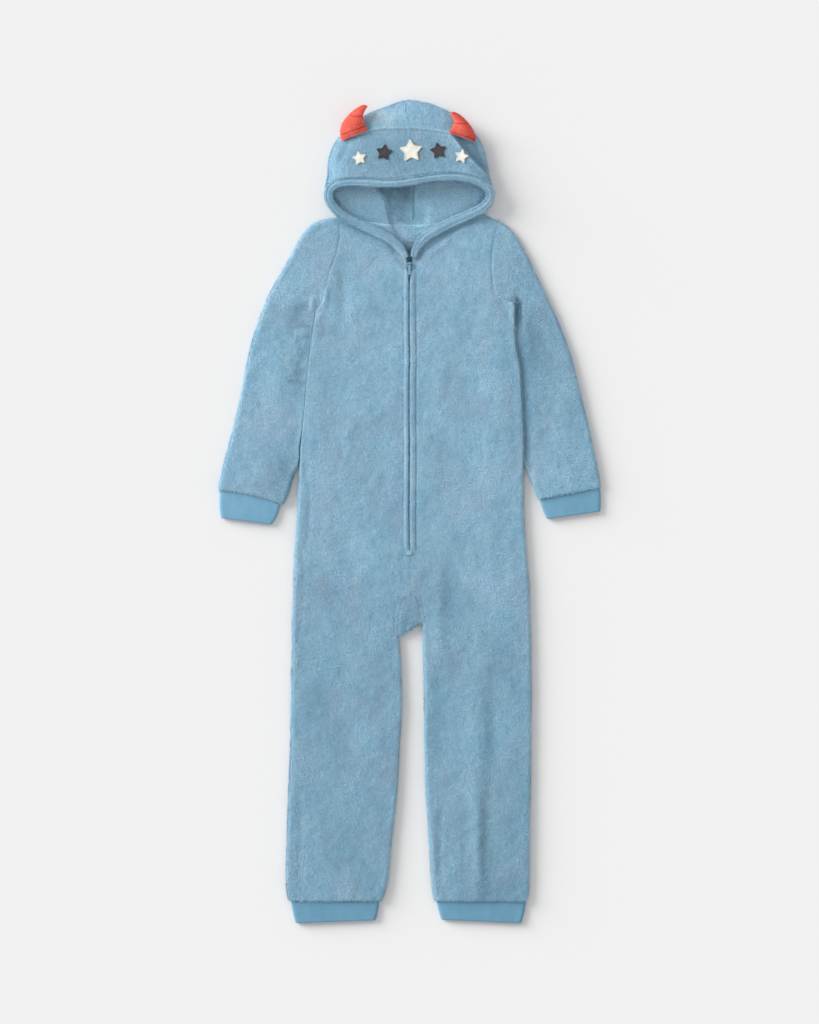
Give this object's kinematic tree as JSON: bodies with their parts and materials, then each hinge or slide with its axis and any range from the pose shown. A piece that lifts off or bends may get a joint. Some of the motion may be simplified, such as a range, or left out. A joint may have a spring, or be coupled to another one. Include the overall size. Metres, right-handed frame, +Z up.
{
  "type": "hooded onesie pajama",
  "caption": "Child's hooded one-piece pajama in blue plush, laid flat, with a zip front, knit cuffs, soft horns and star appliques on the hood.",
  "frame": {"origin": "centre of the bounding box on the surface the garment lies on", "axes": "+Y up the body towards the hood, +X towards the wearer's left, +Z up from the surface, out of the front"},
  "size_m": [0.5569, 1.1934, 0.031],
  "materials": {
    "plush_blue": "double-sided coral fleece with a short mottled nap",
    "jersey_blue": "smooth doubled jersey knit",
    "fleece_coral": "stuffed fleece with two rows of stitching",
    "felt_white": "brushed fleece applique",
    "felt_charcoal": "brushed fleece applique",
    "zip_tape_blue": "woven polyester tape",
    "enamel_blue": "enamelled zinc"
  },
  "bodies": {
    "garment": {"back": "plush_blue", "front_right": "plush_blue", "front_left": "plush_blue", "gusset": "plush_blue", "sleeve_right": "plush_blue", "sleeve_left": "plush_blue", "hood_right": "plush_blue", "hood_left": "plush_blue", "hood_brow": "plush_blue", "hood_hem": "plush_blue", "cuff_wrist_right": "jersey_blue", "cuff_wrist_left": "jersey_blue", "cuff_ankle_right": "jersey_blue", "cuff_ankle_left": "jersey_blue", "horn_right": "fleece_coral", "horn_left": "fleece_coral", "star_1": "felt_white", "star_2": "felt_charcoal", "star_3": "felt_white", "star_4": "felt_charcoal", "star_5": "felt_white", "zip_tape_right": "zip_tape_blue", "zip_tape_left": "zip_tape_blue", "zip_slider": "enamel_blue"},
    "zip_pull": {"zip_pull": "enamel_blue"}
  },
  "joints": [
    {"name": "zip_pull_hinge", "type": "hinge", "parent": "garment", "child": "zip_pull", "pos_m": [-0.001, 0.359, 0.0137], "axis": [-1, 0, 0], "range_deg": [0, 150]}
  ]
}
